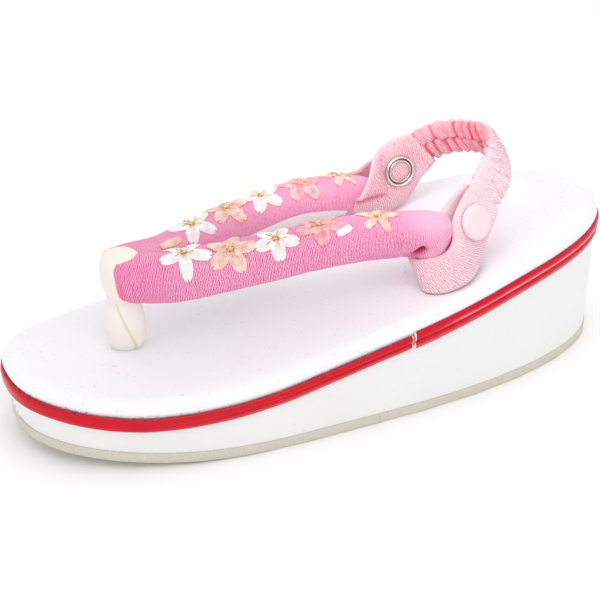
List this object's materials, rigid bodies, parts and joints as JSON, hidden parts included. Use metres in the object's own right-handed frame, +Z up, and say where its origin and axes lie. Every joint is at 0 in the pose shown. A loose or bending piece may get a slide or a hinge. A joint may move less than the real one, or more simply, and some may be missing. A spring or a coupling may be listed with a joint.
{
  "type": "zori sandal",
  "caption": "Child's zori: white wedge sole with red edge band, padded pink thong straps on a cream toe post, and a gathered heel band held by snap tabs.",
  "frame": {"origin": "centre of the sole's outline on the floor that it stands on", "axes": "+Z up, +X from the toe to the heel, +Y to the wearer's right"},
  "size_m": [0.19, 0.0768, 0.0691],
  "materials": {
    "outsole_rubber": "matt greige sheet rubber",
    "white_vinyl": "satin white vinyl leather",
    "red_piping": "glossy red vinyl piping",
    "pink_crepe": "pink silk crepe with blossom embroidery",
    "pale_crepe": "pale pink crepe",
    "cream_velvet": "cream velvet",
    "snap_plastic": "pale pink satin plastic",
    "snap_metal": "bright nickel"
  },
  "bodies": {
    "root": {"outsole": "outsole_rubber", "wedge_base": "white_vinyl", "footbed": "white_vinyl", "edge_band": "red_piping", "thong_straps": "pink_crepe", "toe_post": "cream_velvet", "heel_band": "pale_crepe", "heel_tab_left": "pale_crepe", "heel_tab_right": "pale_crepe", "snap_cap_left": "snap_plastic", "snap_cap_right": "snap_plastic", "snap_ring_left": "snap_metal", "snap_ring_right": "snap_metal"}
  },
  "joints": []
}
